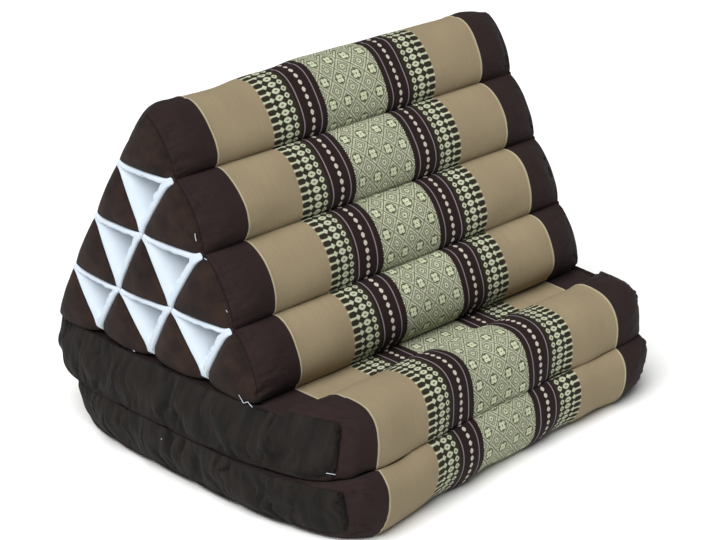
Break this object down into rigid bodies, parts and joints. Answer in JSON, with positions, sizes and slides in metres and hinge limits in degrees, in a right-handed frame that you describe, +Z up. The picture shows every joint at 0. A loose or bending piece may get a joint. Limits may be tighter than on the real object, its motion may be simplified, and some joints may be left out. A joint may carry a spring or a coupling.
{
  "type": "thai triangle cushion",
  "caption": "Triangular backrest cushion of filled sewn rolls with puffed patchwork ends, resting on its folded channelled mats.",
  "frame": {"origin": "on the floor, under the middle of the whole cushion as it lies folded", "axes": "+X along the rolls, -Y towards the leaning face and the front of the mats, +Z up"},
  "size_m": [0.5422, 0.4771, 0.3934],
  "materials": {
    "woven_cover": "matt woven cotton in bands, dark brown at the ends, then beige, a patterned band, striped dark bands and a pale green patterned middle",
    "white_cotton": "matt white cotton with a faint cool tint"
  },
  "bodies": {
    "root": {"wedge": "woven_cover", "mat_upper": "woven_cover", "mat_lower": "woven_cover", "end_panel_left_1": "white_cotton", "end_panel_left_2": "white_cotton", "end_panel_left_3": "white_cotton", "end_panel_left_4": "white_cotton", "end_panel_left_5": "white_cotton", "end_panel_left_6": "white_cotton", "end_panel_right_1": "white_cotton", "end_panel_right_2": "white_cotton", "end_panel_right_3": "white_cotton", "end_panel_right_4": "white_cotton", "end_panel_right_5": "white_cotton", "end_panel_right_6": "white_cotton"}
  },
  "joints": []
}
